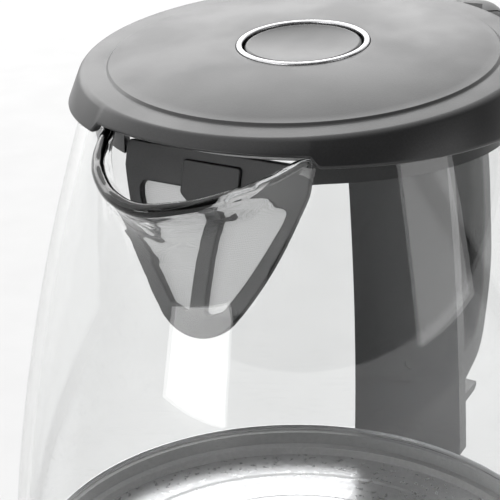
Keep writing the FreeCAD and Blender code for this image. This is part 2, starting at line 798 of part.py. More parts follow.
def lid_cover():
    body = new_body("lid_shell")
    loft = body.newObject("PartDesign::AdditiveLoft", "lid_outside")
    loft.Profile = level_circle(body, "lid_outer_low", "skirt_height", "skirt_radius")
    loft.Sections = [tilted_circle(body, "lid_outer_high", "0", "flange_radius")]
    doc.recompute()
    panel = body_sketch(body, "lid_panel_profile", "XZ_Plane", [
        ("0", "-lid_wall / 2"),
        ("panel_radius", "-lid_wall / 2"),
        ("panel_radius", "panel_step - 0.3"),
        ("panel_radius - 0.8", "panel_step"),
        ("ring_outer", "panel_top"),
        ("0", "panel_top"),
    ], {3: ("(panel_radius + ring_outer) / 2", "panel_step + panel_rise * 0.7")},
        tilt=LID_TILT)
    turn_feature(body, "PartDesign::Revolution", "lid_panel", panel)
    hollow = body.newObject("PartDesign::SubtractiveLoft", "lid_inside")
    hollow.Profile = level_circle(body, "lid_inner_low", "skirt_height",
                                  "skirt_radius - lid_wall + 0.2")
    hollow.Sections = [tilted_circle(body, "lid_inner_high", "lid_wall",
                                     "flange_radius - lid_wall + 0.2")]
    doc.recompute()
    well = body_sketch(body, "lid_well_profile", "XZ_Plane", [
        ("0", "-2 * lid_wall"),
        ("ring_inner", "-2 * lid_wall"),
        ("ring_inner", "panel_top - 1.5"),
        ("ring_outer + fit_gap", "panel_top - 1.5"),
        ("ring_outer + fit_gap", "panel_top + 1"),
        ("0", "panel_top + 1"),
    ], tilt=LID_TILT)
    turn_feature(body, "PartDesign::Groove", "lid_well", well)
    reach = "skirt_radius * 2"
    spread = "skirt_radius * sin(arch_angle)"
    pocketed(body, "lid_arch", "YZ_Plane", [
        (f"-({spread}) - 2", "skirt_height - 5"),
        (f"{spread} + 2", "skirt_height - 5"),
        (f"{spread}", "lid_height - arch_drop"),
        (f"-({spread})", "lid_height - arch_drop"),
    ], reach, lift="-skirt_radius * 1.5")
    pocketed(body, "lid_notch", "YZ_Plane", [
        ("-bracket_width / 2 - 1", "skirt_height - 5"),
        ("bracket_width / 2 + 1", "skirt_height - 5"),
        ("bracket_width / 2 + 1", "lid_height + 2"),
        ("-bracket_width / 2 - 1", "lid_height + 2"),
    ], "20", lift="flange_radius + 5")

    lug_face = "mouth_inner + 1"
    lug_foot = "hinge_height - lug_radius"
    lug_side = "-lug_width / 2"
    lug_bar = box("lid_lug_bar", (lug_face, lug_side, lug_foot),
                  (f"hinge_reach - ({lug_face})", "lug_width", "hinge_drop + 8"))
    lug_eye = rod("lid_lug_eye", ("hinge_reach", lug_side, "hinge_height"), "lug_radius",
                  "lug_width", ALONG_Y)
    lug_arm = box("lid_lug_arm", ("flange_radius - 3", lug_side, lug_foot),
                  ("hinge_reach - flange_radius + 3", "lug_width", "2 * lug_radius"))
    roof = lid_roof("lid_roof_cutter", "0.8")
    lug_clear = box("lid_lug_clear", ("flange_radius - 0.5", "-lug_width",
                                      "hinge_height + lug_radius"),
                    ("hinge_reach", "2 * lug_width", "plug_drop"))
    lug = fuse("lid_lug", cut("lid_lug_trimmed", lug_bar, roof, lug_clear), lug_arm, lug_eye)
    bosses = [rod(f"lid_boss_{number}", (across, along, "plug_height + lid_wall + fit_gap"),
                  "3.2", "plug_drop + 4")
              for number, (across, along) in enumerate(LID_SCREWS)]
    boss_set = cut("lid_bosses", fuse("lid_boss_rods", *bosses), roof)
    bores = [rod(f"lid_bore_{number}", (across, along, "plug_height"),
                 "screw_radius + fit_gap", "plug_drop - 5")
             for number, (across, along) in enumerate(LID_SCREWS)]
    pin_hole = rod("lid_pin_hole", ("hinge_reach", "-10", "hinge_height"),
                   "pin_radius + pin_gap", "20", ALONG_Y)
    node(cut("lid_cover_cut", fuse("lid_cover_solid", body, lug, boss_set), *bores, pin_hole),
         "lid_cover")


LID_SCREWS = around(4, "(plug_radius - 9)")


def lid_roof(name, drop):
    """A block above the tilted plane that lies a drop under the lid's face."""
    block = doc.addObject("Part::Box", name)
    bind(block, Length="foot_radius * 2", Width="foot_radius * 2", Height="40")
    lean = "lid_tilt"
    place(block, (f"-foot_radius * cos({lean})", "-foot_radius",
                  f"lid_height - ({drop}) - foot_radius * sin({lean})"), (0, 1, 0),
          "0 - lid_tilt")
    return block


def lid_inside():
    cup = turned("plug_cup", [
        ("0", "plug_height"),
        ("plug_radius", "plug_height"),
        ("plug_radius", "lid_height + 8"),
        ("plug_radius - lid_wall", "lid_height + 8"),
        ("plug_radius - lid_wall", "plug_height + lid_wall"),
        ("0", "plug_height + lid_wall"),
    ])
    windows = [box(f"plug_window_{number}", (
        "-bolt_width / 2 - 0.3", f"{side} * plug_radius - 5", "bolt_height - 0.3"),
        ("bolt_width + 0.6", "10", "bolt_thick + 0.6"))
        for number, side in enumerate((-1, 1))]
    holes = screw_holes("plug_hole", LID_SCREWS, "plug_height - 1", "6")
    seats = [rod(f"plug_seat_{number}", (across, along, "plug_height - 1"),
                 "head_radius + fit_gap", "head_thick + 1")
             for number, (across, along) in enumerate(LID_SCREWS)]
    notch = box("plug_lug_notch", ("plug_radius - 5", "-(lug_width / 2 + 0.6)",
                                   "hinge_height - lug_radius - 0.6"),
                ("10", "lug_width + 1.2", "20"))
    node(cut("lid_plug_cut", cup, lid_roof("plug_roof", "lid_wall + fit_gap"), notch,
             *windows, *holes, *seats), "lid_plug")
    screws("lid_screws", LID_SCREWS, "plug_height + head_thick", "plug_drop - 7")
    node(ring("lid_seal", "plug_radius", "plug_radius + 0.8", "plug_height + 0.4",
              "plug_height + 2"), "lid_seal")

    node(ring("button_ring", "ring_inner", "ring_outer", "panel_top - 1.5 + 0.02",
              "panel_top + ring_proud", tilt=LID_TILT), "button_ring")
    node(turned("lid_button", [
        ("0", "panel_top - button_dish - 2"),
        ("button_radius - 1.6", "panel_top - button_dish - 2"),
        ("button_radius - 1.6", "panel_top - 6"),
        ("button_radius", "panel_top - 6"),
        ("button_radius", "panel_top - 0.3"),
        ("button_radius - 0.6", "panel_top"),
        ("2", "panel_top - button_dish"),
        ("0", "panel_top - button_dish"),
    ], {5: ("button_radius * 0.55", "panel_top - button_dish * 0.72")}, tilt=LID_TILT),
        "lid_button")
    coil("button_spring", ("(plug_drop - 3) * sin(lid_tilt * 1deg)", "0",
                           "plug_height + lid_wall + 1.3"), "6", "0.5", "2", "8",
         (0, 1, 0), "0 - lid_tilt")

    for side, word in ((-1, "right"), (1, "left")):
        tip = f"{side} * bolt_tip"
        root = f"{side} * (bolt_tip - bolt_length)"
        bar = extruded(f"latch_bolt_{word}", "YZ_Plane", [
            (root, "bolt_height"),
            (f"{tip} - {side} * 1.2", "bolt_height"),
            (tip, "bolt_height + 1.2"),
            (tip, "bolt_height + bolt_thick"),
            (root, "bolt_height + bolt_thick"),
        ], "bolt_width")
        node(bar, f"latch_bolt_{word}")
        start = "0 - (bolt_tip - bolt_length - 0.6)" if side < 0 else "bolt_tip - bolt_length - 8.6"
        coil(f"latch_spring_{word}", ("0", start, "bolt_height + bolt_thick / 2"), "1.4",
             "0.3", "1.3", "7.4", ALONG_Y)


# ---------------------------------------------------------------- handle and hinge


def strip_block(name, offset, width):
    """A block from the axis out to the glass wall plus an offset, along Y."""
    points, arcs = wall_outline(offset, "foot_height", "rim_height")
    return extruded(name, "XZ_Plane", points, width, arcs)


def handle_outline(inset, name):
    """Side outline of the looped handle, as a sketch in the plane of the spout."""
    root = "rim_radius - 20"
    top_foot = "lid_height - 27"
    points = [
        (root, "bracket_foot - 0.3"),
        ("bracket_back + 0.4", "bracket_foot - 0.3"),
        ("bracket_back + 0.4", "handle_top"),
        ("handle_bend", "handle_top - 4.4"),
        ("handle_reach - 4", "handle_shoulder"),
        ("handle_reach", "handle_low"),
        ("handle_reach - 13", "handle_foot + 7"),
        ("handle_heel", "handle_foot"),
        (root, "handle_foot"),
        (root, "handle_foot + 21"),
        ("handle_inner - 6", "handle_foot + 22"),
        ("handle_inner", "handle_foot + 34"),
        ("handle_inner - 1.5", f"{top_foot} - 10"),
        ("handle_inner - 8", f"{top_foot} - 2"),
        (root, top_foot),
    ]
    profile = doc.addObject("Sketcher::SketchObject", name)
    profile.Placement = FreeCAD.Placement(
        FreeCAD.Vector(), FreeCAD.Rotation(FreeCAD.Vector(1, 0, 0), 90))
    outline(profile, points, {4: ("handle_reach + 0.6", "lid_height - 55"),
                              6: ("handle_reach - 24", "handle_foot + 1.4"),
                              11: ("handle_inner + 1.5", "lid_height - 70")})
    doc.recompute()
    if inset == "0":
        return profile
    shrunk = doc.addObject("Part::Offset2D", name + "_inset")
    shrunk.Source = profile
    bind(shrunk, Value=f"0 - ({inset})")
    shrunk.Join = "Intersection"
    doc.recompute()
    return shrunk


def slab(name, profile, width):
    item = doc.addObject("Part::Extrusion", name)
    item.Base = profile
    item.DirMode = "Custom"
    item.Dir = FreeCAD.Vector(0, 1, 0)
    item.Solid = True
    item.Symmetric = True
    bind(item, LengthFwd=width)
    doc.recompute()
    return item


def handle():
    strip = extruded("strip_pad", "YZ_Plane", [
        ("-strip_foot_width / 2", "foot_height + 7"),
        ("strip_foot_width / 2", "foot_height + 7"),
        ("strip_top_width / 2", "bracket_foot - 0.3"),
        ("-strip_top_width / 2", "bracket_foot - 0.3"),
    ], "foot_radius + 20", lift="(foot_radius + 20) / 2")
    points, arcs = wall_outline("strip_gap", "foot_height", "rim_height")
    sketch = body_sketch(strip, "strip_glass_side", "XZ_Plane", points, arcs)
    turn_feature(strip, "PartDesign::Groove", "strip_hug", sketch)
    envelope = strip_block("strip_envelope", "strip_gap + strip_wall", "foot_radius")
    back = doc.addObject("Part::MultiCommon", "strip_common")
    back.Shapes = [strip, envelope]
    doc.recompute()
    front = box("strip_front_half", ("-foot_radius * 2", "-foot_radius", "0"),
                ("foot_radius * 2", "foot_radius * 2", "lid_height"))
    places = [("-8", "lid_height - 22"), ("8", "lid_height - 22"), ("0", "handle_foot + 14")]
    holes = [rod(f"strip_hole_{number}", ("0", across, height), "screw_radius + fit_gap",
                 "handle_reach - handle_grip - 8", ALONG_X)
             for number, (across, height) in enumerate(places)]
    node(cut("handle_strip_cut", back, front, *holes[:2], holes[2]), "handle_strip")

    clear = strip_block("handle_clearance", "strip_gap + strip_wall + fit_gap", "foot_radius")
    inner_clear = strip_block("handle_wall_clearance",
                              "strip_gap + strip_wall + fit_gap + handle_wall", "foot_radius")
    whole = slab("handle_whole", handle_outline("0", "handle_side"), "handle_width")
    hollow = slab("handle_hollow_raw", handle_outline("handle_wall", "handle_hollow_side"),
                  "handle_width - 2 * handle_wall")
    room = cut("handle_room", hollow, inner_clear)
    core = extruded("handle_cover_side", "XZ_Plane", [
        ("bracket_back - 20", "handle_top + 20"),
        ("bracket_back - 20", "handle_top - handle_wall + 0.9"),
        ("handle_bend - 0.5", "handle_top - 4.4 - handle_wall"),
        ("handle_reach - 4 - handle_wall + 0.5", "handle_shoulder - 1.2"),
        ("handle_reach - handle_wall", "handle_low"),
        ("handle_reach - 13 - 1.5", "handle_foot + 7 + 1.5"),
        ("handle_heel", "handle_foot + handle_wall"),
        ("handle_inner - 22", "handle_foot + handle_wall"),
        ("handle_inner - 22", "handle_foot - 20"),
        ("handle_reach + 20", "handle_foot - 20"),
        ("handle_reach + 20", "handle_top + 20"),
    ], "handle_width * 2", {3: ("handle_reach - handle_wall + 0.6", "lid_height - 55"),
                            5: ("handle_reach - 24 - 0.6", "handle_foot + 1.4 + handle_wall")})
    lever_slot = box("lever_slot", ("lever_place - 6", "-5.5", "handle_foot - 5"),
                     ("10.5", "11", "handle_wall + 7"))
    lens_hole = rod("lens_hole", ("lever_place + 14", "lens_side", "handle_foot - 5"),
                    "lens_radius + fit_gap", "14")
    inner = cut("handle_inner_cut", whole, clear, room, core, lever_slot, *holes)
    node(inner, "handle_inner_shell")
    cover = doc.addObject("Part::MultiCommon", "handle_cover_common")
    cover.Shapes = [whole, core]
    doc.recompute()
    node(cut("handle_outer_cut", cover, clear, lever_slot, lens_hole), "handle_outer_shell")

    pieces = []
    for number, (across, height) in enumerate(places):
        seat = "rim_radius + 5.5" if number < 2 else "foot_radius + 1.2"
        seat = f"{seat} + handle_wall"
        head = rod(f"handle_screw_head_{number}", (f"{seat} + 4", across, height),
                   "head_radius", "head_thick", ALONG_X)
        shank = rod(f"handle_screw_shank_{number}", (f"{seat} - 4", across, height),
                    "screw_radius", "8", ALONG_X)
        pieces.append(fuse(f"handle_screw_{number}", head, shank))
    node(group("handle_screws", pieces), "handle_screws")

    tube_in = "lid_height - 18.5"
    tube_across = "handle_reach - 12.5"
    node(cut("steam_tube_cut", lead("steam_tube_outer", [
        ("bracket_back - 3", "0", tube_in),
        (tube_across, "0", tube_in),
        (tube_across, "0", "handle_foot + 34"),
    ], "3", "10"), lead("steam_tube_inner", [
        ("bracket_back - 4", "0", tube_in),
        (tube_across, "0", tube_in),
        (tube_across, "0", "handle_foot + 33"),
    ], "2", "10")), "steam_tube")
    node(box("steam_switch", ("handle_reach - 30", "-9", "handle_foot + 9"),
             ("13", "18", "9")), "steam_switch")
    node(rod("steam_disc", ("handle_reach - 22", "0", "handle_foot + 18.4"), "4.5", "0.5"),
         "steam_disc")
    node(rod("indicator_lens", ("lever_place + 14", "lens_side", "handle_foot - 0.2"), "lens_radius", "5"),
         "indicator_lens")


def lever():
    """The on-off lever under the handle, on its pin."""
    arm = extruded("switch_lever_arm", "XZ_Plane", [
        ("lever_place - 2", "handle_foot - 7.5"),
        ("lever_place + 20", "handle_foot - 7.5"),
        ("lever_place + 22", "handle_foot - 6.5"),
        ("lever_place + 22", "handle_foot - 5"),
        ("lever_place + 3", "handle_foot - 4"),
        ("lever_place + 2", "lever_height"),
        ("lever_place - 2", "lever_height"),
    ], "10")
    paddle = extruded("switch_paddle", "XZ_Plane", [
        ("lever_place + 6", "handle_foot - 7.5"),
        ("lever_place + 20", "handle_foot - 7.5"),
        ("lever_place + 22", "handle_foot - 6.5"),
        ("lever_place + 22", "handle_foot - 5"),
        ("lever_place + 6", "handle_foot - 4.2"),
    ], "handle_width - 6")
    eye = rod("switch_eye", ("lever_place", "-5", "lever_height"), "3.2", "10", ALONG_Y)
    hole = rod("switch_eye_hole", ("lever_place", "-10", "lever_height"),
               "pin_radius + pin_gap", "20", ALONG_Y)
    node(cut("switch_lever_cut", fuse("switch_lever_solid", arm, paddle, eye), hole),
         "switch_lever")
    node(rod("lever_pin", ("lever_place", "-handle_width / 2 + handle_wall + fit_gap",
                           "lever_height"), "pin_radius",
             "handle_width - 2 * handle_wall - 2 * fit_gap", ALONG_Y), "lever_pin")


def hinge():
    block = extruded("bracket_pad", "XZ_Plane", [
        ("bracket_face", "bracket_foot"),
        ("bracket_back", "bracket_foot"),
        ("bracket_back", "lid_height - 1.6"),
        ("hinge_reach + 1", "lid_height + 1.5"),
        ("bracket_face + 2", "lid_height + 1.5"),
        ("bracket_face", "lid_height - 0.5"),
    ], "bracket_width")
    slot = box("bracket_slot", ("bracket_face - 5", "-slot_width / 2", "hinge_height - 6"),
               ("hinge_reach - bracket_face + 13", "slot_width", "20"))
    pin_hole = rod("bracket_pin_hole", ("hinge_reach", "-bracket_width", "hinge_height"),
                   "pin_radius + 0.01", "bracket_width * 2", ALONG_Y)
    node(cut("hinge_bracket_cut", block, slot, pin_hole), "hinge_bracket")
    node(rod("hinge_pin", ("hinge_reach", "-bracket_width / 2 + 0.5", "hinge_height"),
             "pin_radius", "bracket_width - 1", ALONG_Y), "hinge_pin")
    for word, start in (("left", "7.8"), ("right", "-11.2")):
        coil(f"hinge_spring_{word}", ("hinge_reach", start, "hinge_height"), "2.4", "0.4",
             "1", "3.4", ALONG_Y)


power_base()
socket()
underside()
glass()
mouth_collar()
spout_filter()
lid_cover()
lid_inside()
handle()
lever()
hinge()
doc.recompute()

for item in doc.Objects:
    if "Invalid" in item.State or "Error" in item.State:
        raise ValueError(f"{item.Name} is {item.State}")
os.makedirs("parts", exist_ok=True)
for item in nodes:
    shape = item.Shape
    if shape.isNull() or not shape.isValid():
        raise ValueError(f"{item.Label} has no valid shape")
    shape.exportStep(f"parts/{item.Label}.step")
    print(item.Label, len(shape.Solids), round(shape.Volume))
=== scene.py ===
import json
import math

import bmesh
import bpy
import numpy as np
from mathutils import Matrix, Vector

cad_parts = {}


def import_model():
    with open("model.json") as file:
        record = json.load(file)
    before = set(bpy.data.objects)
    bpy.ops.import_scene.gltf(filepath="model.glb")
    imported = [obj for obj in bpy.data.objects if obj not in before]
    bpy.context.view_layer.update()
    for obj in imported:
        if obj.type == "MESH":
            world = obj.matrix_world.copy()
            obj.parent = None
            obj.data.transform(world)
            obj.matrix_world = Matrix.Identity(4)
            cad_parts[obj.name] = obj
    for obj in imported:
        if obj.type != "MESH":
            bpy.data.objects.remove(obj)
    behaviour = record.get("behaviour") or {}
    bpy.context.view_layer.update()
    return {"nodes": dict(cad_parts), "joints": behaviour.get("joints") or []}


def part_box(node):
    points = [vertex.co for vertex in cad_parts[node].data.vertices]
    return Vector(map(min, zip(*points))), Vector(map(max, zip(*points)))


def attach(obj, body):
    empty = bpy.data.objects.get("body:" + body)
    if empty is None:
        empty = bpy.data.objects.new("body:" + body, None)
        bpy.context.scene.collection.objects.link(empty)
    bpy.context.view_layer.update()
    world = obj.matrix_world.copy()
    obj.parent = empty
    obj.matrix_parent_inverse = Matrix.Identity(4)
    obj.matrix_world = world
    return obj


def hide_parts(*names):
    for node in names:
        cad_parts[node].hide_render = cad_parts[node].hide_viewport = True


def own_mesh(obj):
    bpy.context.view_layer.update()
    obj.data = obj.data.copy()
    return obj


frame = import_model()

# Lengths in this script are millimetres; MM turns them into metres as a mesh is made.
MM = 0.001


# ---------------------------------------------------------------- sizes read from the frame


def corners_of(node):
    """Lowest and highest corner of a CAD node, in millimetres."""
    low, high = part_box(node)
    return Vector(low) / MM, Vector(high) / MM


def centre_of(node):
    low, high = corners_of(node)
    return (low + high) / 2


GLASS_LOW, GLASS_HIGH = corners_of("glass_body")
FOOT_HEIGHT, RIM_HEIGHT = GLASS_LOW.z, GLASS_HIGH.z
FOOT_RADIUS = GLASS_HIGH.y
LID_LOW, LID_HIGH = corners_of("lid_cover")
SKIRT_RADIUS, SKIRT_HEIGHT = LID_HIGH.y, LID_LOW.z
HINGE = centre_of("hinge_pin")
BUTTON_AXIS = [joint["axis"] for joint in frame["joints"] if joint["name"] == "button_press"][0]
LID_TILT = math.asin(BUTTON_AXIS[0])
HINGE_DROP = 3
LID_POINT = HINGE.z + HINGE_DROP
LID = Matrix.Translation((0, 0, LID_POINT)) @ Matrix.Rotation(-LID_TILT, 4, "Y")

GLASS_WALL = 3
RIM_RADIUS = SKIRT_RADIUS - 4.4
SHOULDER_RADIUS = 69.3
SHOULDER_HEIGHT = LID_POINT - 69.6
FLANGE_RADIUS = RIM_RADIUS + 1.2
PANEL_RADIUS = FLANGE_RADIUS - 6.8
LID_WALL = 2.2
ARCH_HEIGHT = LID_POINT - 9
ARCH_ANGLE = math.radians(29.5)
RING_OUTER = corners_of("button_ring")[1].y
RING_INNER = RING_OUTER - 1.4
NOTCH_WIDTH = 35
LUG_WIDTH = 14
LUG_EYE = 4.6
BUTTON_RADIUS = corners_of("lid_button")[1].y


# ---------------------------------------------------------------- outlines


def arc_points(start, through, stop, steps=16):
    """Points on the circle through three points in a plane, from start to stop."""
    (ax, ay), (bx, by), (cx, cy) = start, through, stop
    twice = 2 * (ax * (by - cy) + bx * (cy - ay) + cx * (ay - by))
    a2, b2, c2 = ax * ax + ay * ay, bx * bx + by * by, cx * cx + cy * cy
    across = (a2 * (by - cy) + b2 * (cy - ay) + c2 * (ay - by)) / twice
    up = (a2 * (cx - bx) + b2 * (ax - cx) + c2 * (bx - ax)) / twice
    radius = math.hypot(ax - across, ay - up)
    first, middle, last = [math.atan2(y - up, x - across)
                           for x, y in (start, through, stop)]
    full = 2 * math.pi
    sweep = (last - first) % full
    if (middle - first) % full > sweep:
        sweep -= full
    angles = [first + sweep * step / steps for step in range(steps + 1)]
    return [(across + radius * math.cos(angle), up + radius * math.sin(angle))
            for angle in angles]


def rounded(corners, steps=6, closed=True):
    """A line through corners of (place..., radius), each corner rounded by its radius."""
    spots = [np.array(corner[:-1], float) for corner in corners]
    line = []
    for index, (spot, corner) in enumerate(zip(spots, corners)):
        at_end = not closed and index in (0, len(spots) - 1)
        if corner[-1] == 0 or at_end:
            line.append(spot)
            continue
        back = spots[index - 1] - spot
        ahead = spots[(index + 1) % len(spots)] - spot
        back_length, ahead_length = np.linalg.norm(back), np.linalg.norm(ahead)
        back, ahead = back / back_length, ahead / ahead_length
        half = math.acos(np.clip(back @ ahead, -1, 1)) / 2
        if half > math.radians(89.5):
            line.append(spot)
            continue
        trim = min(corner[-1] / math.tan(half), 0.49 * back_length, 0.49 * ahead_length)
        radius = trim * math.tan(half)
        middle = (back + ahead) / np.linalg.norm(back + ahead)
        centre = spot + middle * radius / math.sin(half)
        start, stop = spot + back * trim - centre, spot + ahead * trim - centre
        turn = math.pi - 2 * half
        for step in range(steps + 1):
            share = step / steps
            spoke = start * math.sin((1 - share) * turn) + stop * math.sin(share * turn)
            line.append(centre + spoke / math.sin(turn))
    return line


# ---------------------------------------------------------------- meshes


def add_piece(name, points, faces, sharp=40):
    """A mesh object from points in millimetres; doubled points are joined."""
    mesh = bpy.data.meshes.new(name)
    mesh.from_pydata([tuple(c * MM for c in point) for point in points], [], faces)
    work = bmesh.new()
    work.from_mesh(mesh)
    bmesh.ops.remove_doubles(work, verts=work.verts, dist=1e-6)
    bmesh.ops.dissolve_degenerate(work, edges=work.edges, dist=1e-7)
    bmesh.ops.recalc_face_normals(work, faces=work.faces)
    work.to_mesh(mesh)
    work.free()
    piece = bpy.data.objects.new(name, mesh)
    bpy.context.collection.objects.link(piece)
    mesh.shade_smooth()
    mesh.set_sharp_from_angle(angle=math.radians(sharp))
    return piece


def settled(piece):
    """The piece with its modifiers made part of its mesh."""
    graph = bpy.context.evaluated_depsgraph_get()
    mesh = bpy.data.meshes.new_from_object(piece.evaluated_get(graph))
    piece.modifiers.clear()
    piece.data = mesh
    return piece


def weighted(piece):
    """Keep big faces flat beside their rounded edges."""
    normals = piece.modifiers.new("flat_faces", "WEIGHTED_NORMAL")
    normals.keep_sharp = True
    normals.weight = 90
    return piece


def joined_by(piece, other, operation):
    """The piece cut by, or kept inside, another closed piece, which is used up."""
    tool = piece.modifiers.new(operation.lower(), "BOOLEAN")
    tool.operation = operation
    tool.solver = "EXACT"
    tool.object = other
    settled(piece)
    bpy.data.objects.remove(other)
    piece.data.shade_smooth()
    piece.data.set_sharp_from_angle(angle=math.radians(40))
    return piece


def grid(name, rows, wrap_rows=True, sharp=40):
    """A skin over rows of points; each row closes on itself, and so may the stack."""
    count = len(rows[0])
    points = [point for row in rows for point in row]
    faces = []
    for row in range(len(rows) if wrap_rows else len(rows) - 1):
        lower, upper = row * count, (row + 1) % len(rows) * count
        for index in range(count):
            ahead = (index + 1) % count
            faces.append((lower + index, lower + ahead, upper + ahead, upper + index))
    if not wrap_rows:
        faces.append(tuple(reversed(range(count))))
        faces.append(tuple(range(len(points) - count, len(points))))
    return add_piece(name, points, faces, sharp=sharp)


def lathe(name, corners, turn=None, segments=192, steps=5, closed=False, at=(0, 0)):
    """A turned piece from (radius, height, rounding) corners, about Z or the lid's axis."""
    line = rounded(corners, steps, closed)
    angles = np.linspace(0, 2 * math.pi, segments, endpoint=False)
    place = turn or Matrix.Identity(4)
    points, rings = [], []
    for radius, height in line:
        if radius < 1e-6:
            rings.append([len(points)] * segments)
            points.append(place @ Vector((at[0], at[1], height)))
            continue
        rings.append(list(range(len(points), len(points) + segments)))
        points += [place @ Vector((at[0] + radius * math.cos(angle),
                                   at[1] + radius * math.sin(angle), height))
                   for angle in angles]
    faces = []
    for lower, upper in zip(rings, rings[1:] + rings[:1] if closed else rings[1:]):
        for index in range(segments):
            ahead = (index + 1) % segments
            ring = [lower[index], lower[ahead], upper[ahead], upper[index]]
            face = [spot for number, spot in enumerate(ring) if spot not in ring[:number]]
            if len(face) > 2:
                faces.append(face)
    return add_piece(name, points, faces)


def plate(name, loops, thickness, bevel, matrix):
    """A flat piece from closed outlines, the first the outside, with rounded edges."""
    curve = bpy.data.curves.new(name, "CURVE")
    curve.dimensions = "2D"
    curve.fill_mode = "BOTH"
    curve.extrude = (thickness / 2 - bevel) * MM
    curve.bevel_depth = bevel * MM
    curve.bevel_resolution = 3
    curve.offset = -bevel * MM
    for loop in loops:
        spline = curve.splines.new("POLY")
        spline.points.add(len(loop) - 1)
        for point, (across, up) in zip(spline.points, loop):
            point.co = (across * MM, up * MM, 0, 1)
        spline.use_cyclic_u = True
    holder = bpy.data.objects.new(name + "_outline", curve)
    bpy.context.collection.objects.link(holder)
    graph = bpy.context.evaluated_depsgraph_get()
    mesh = bpy.data.meshes.new_from_object(holder.evaluated_get(graph))
    points = [matrix @ (vertex.co / MM) for vertex in mesh.vertices]
    faces = [tuple(face.vertices) for face in mesh.polygons]
    bpy.data.objects.remove(holder)
    bpy.data.curves.remove(curve)
    bpy.data.meshes.remove(mesh)
    return weighted(add_piece(name, points, faces, sharp=60))


def prism(name, line, width):
    """A solid from one side outline in the plane of the spout."""
    count = len(line)
    points = [(across, side * width / 2, up) for side in (-1, 1) for across, up in line]
    faces = [tuple(range(count)), tuple(reversed(range(count, 2 * count)))]
    faces += [(index, (index + 1) % count, count + (index + 1) % count, count + index)
              for index in range(count)]
    return add_piece(name, points, faces)


# A plate's outline is (across, up); these stand it up facing along X or along Y.
FACING_X = Matrix(((0, 0, 1, 0), (1, 0, 0, 0), (0, 1, 0, 0), (0, 0, 0, 1)))
FACING_Y = Matrix(((1, 0, 0, 0), (0, 0, -1, 0), (0, 1, 0, 0), (0, 0, 0, 1)))


def softened(node, width):
    """The CAD node's own shape with its edges rounded."""
    source = frame["nodes"][node].data
    points = [vertex.co / MM for vertex in source.vertices]
    faces = [tuple(face.vertices) for face in source.polygons]
    piece = add_piece(node + "_form", points, faces)
    work = bmesh.new()
    work.from_mesh(piece.data)
    bmesh.ops.dissolve_limit(work, angle_limit=math.radians(1), verts=work.verts,
                             edges=work.edges)
    work.to_mesh(piece.data)
    work.free()
    edges = piece.modifiers.new("rounded_edges", "BEVEL")
    edges.limit_method = "ANGLE"
    edges.angle_limit = math.radians(35)
    edges.width = width * MM
    edges.segments = 3
    edges.use_clamp_overlap = True
    piece.data.shade_smooth()
    return weighted(piece)


# ---------------------------------------------------------------- materials


def new_material(name, colour, roughness, metallic=0.0):
    """A Principled material and its shader, with the uniform values set."""
    material = bpy.data.materials.new(name)
    material.use_nodes = True
    shader = material.node_tree.nodes["Principled BSDF"]
    shader.inputs["Base Color"].default_value = (*colour, 1)
    shader.inputs["Roughness"].default_value = roughness
    shader.inputs["Metallic"].default_value = metallic
    return material, shader


def add_node(material, kind, **settings):
    node = material.node_tree.nodes.new(kind)
    for name, setting in settings.items():
        if name in node.inputs:
            node.inputs[name].default_value = setting
        else:
            setattr(node, name, setting)
    return node


def link(material, source, target):
    material.node_tree.links.new(source, target)


def noise(material, scale, detail=3.0, stretch=(1, 1, 1)):
    """Noise over the piece's own metres, optionally stretched."""
    place = add_node(material, "ShaderNodeTexCoord")
    mapping = add_node(material, "ShaderNodeMapping", Scale=stretch)
    texture = add_node(material, "ShaderNodeTexNoise", Scale=scale, Detail=detail)
    link(material, place.outputs["Object"], mapping.inputs["Vector"])
    link(material, mapping.outputs["Vector"], texture.inputs["Vector"])
    return texture.outputs["Fac"]


def spread(material, factor, low, high, start=0.35, stop=0.65):
    """Map a factor to a range of numbers or, from two colours, to a colour."""
    if isinstance(low, tuple):
        ramp = add_node(material, "ShaderNodeValToRGB")
        for element, place, colour in zip(ramp.color_ramp.elements, (start, stop),
                                          (low, high)):
            element.position = place
            element.color = (*colour, 1)
        link(material, factor, ramp.inputs["Fac"])
        return ramp.outputs["Color"]
    reach = add_node(material, "ShaderNodeMapRange")
    for name, number in (("From Min", start), ("From Max", stop), ("To Min", low),
                         ("To Max", high)):
        reach.inputs[name].default_value = number
    link(material, factor, reach.inputs["Value"])
    return reach.outputs["Result"]


def bump(material, shader, height, strength, distance):
    """Raise the surface by a factor; the distance is in metres."""
    node = add_node(material, "ShaderNodeBump", Strength=strength, Distance=distance)
    link(material, height, node.inputs["Height"])
    link(material, node.outputs["Normal"], shader.inputs["Normal"])


def shades(colour, change):
    return tuple(c * (1 - change) for c in colour), tuple(c * (1 + change) for c in colour)


def moulded(name, colour, roughness, grain=2600, depth=0.25, change=0.16):
    """Moulded plastic or rubber with a fine spark grain."""
    material, shader = new_material(name, colour, roughness)
    fine = noise(material, grain, 2)
    broad = noise(material, 60, 3)
    link(material, spread(material, fine, *shades(colour, change)), shader.inputs["Base Color"])
    link(material, spread(material, broad, roughness - 0.03, roughness + 0.03),
         shader.inputs["Roughness"])
    bump(material, shader, fine, depth, 0.00006)
    return material


def metal(name, colour, roughness, stretch=(1, 1, 1), grain=900, depth=0.12):
    """Metal with a grain, which is brushed where it is stretched."""
    material, shader = new_material(name, colour, roughness, 1.0)
    lines = noise(material, grain, 3, stretch)
    link(material, spread(material, lines, *shades(colour, 0.07)), shader.inputs["Base Color"])
    link(material, spread(material, lines, roughness * 0.75, roughness * 1.3),
         shader.inputs["Roughness"])
    bump(material, shader, lines, depth, 0.00004)
    return material


